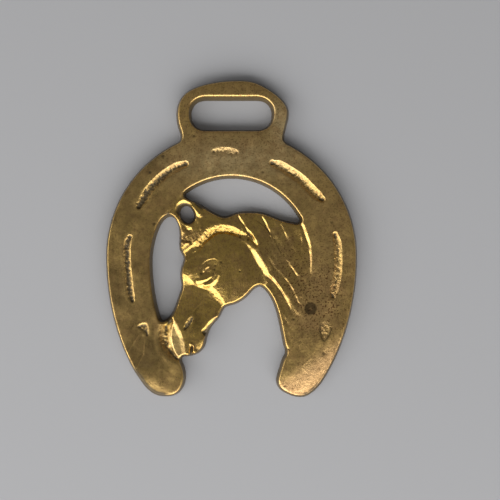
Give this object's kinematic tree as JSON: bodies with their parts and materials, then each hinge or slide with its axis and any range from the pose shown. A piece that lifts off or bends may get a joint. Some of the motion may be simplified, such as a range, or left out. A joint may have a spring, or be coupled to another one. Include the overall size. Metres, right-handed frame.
{
  "type": "horse brass",
  "caption": "Cast brass harness ornament: a pierced horseshoe with a strap slot above and a horse's head in relief across its opening.",
  "frame": {"origin": "middle of the outline's bounding rectangle, in the plane of the flat back", "axes": "+Z out of the front with the relief, +Y towards the hanger, +X to the right as seen from the front"},
  "size_m": [0.0652, 0.0822, 0.0044],
  "materials": {
    "brass": "cast brass with a brown-olive patina, polished on rims and high spots, rough in the sunk parts"
  },
  "bodies": {
    "root": {"horse_brass": "brass"}
  },
  "joints": []
}
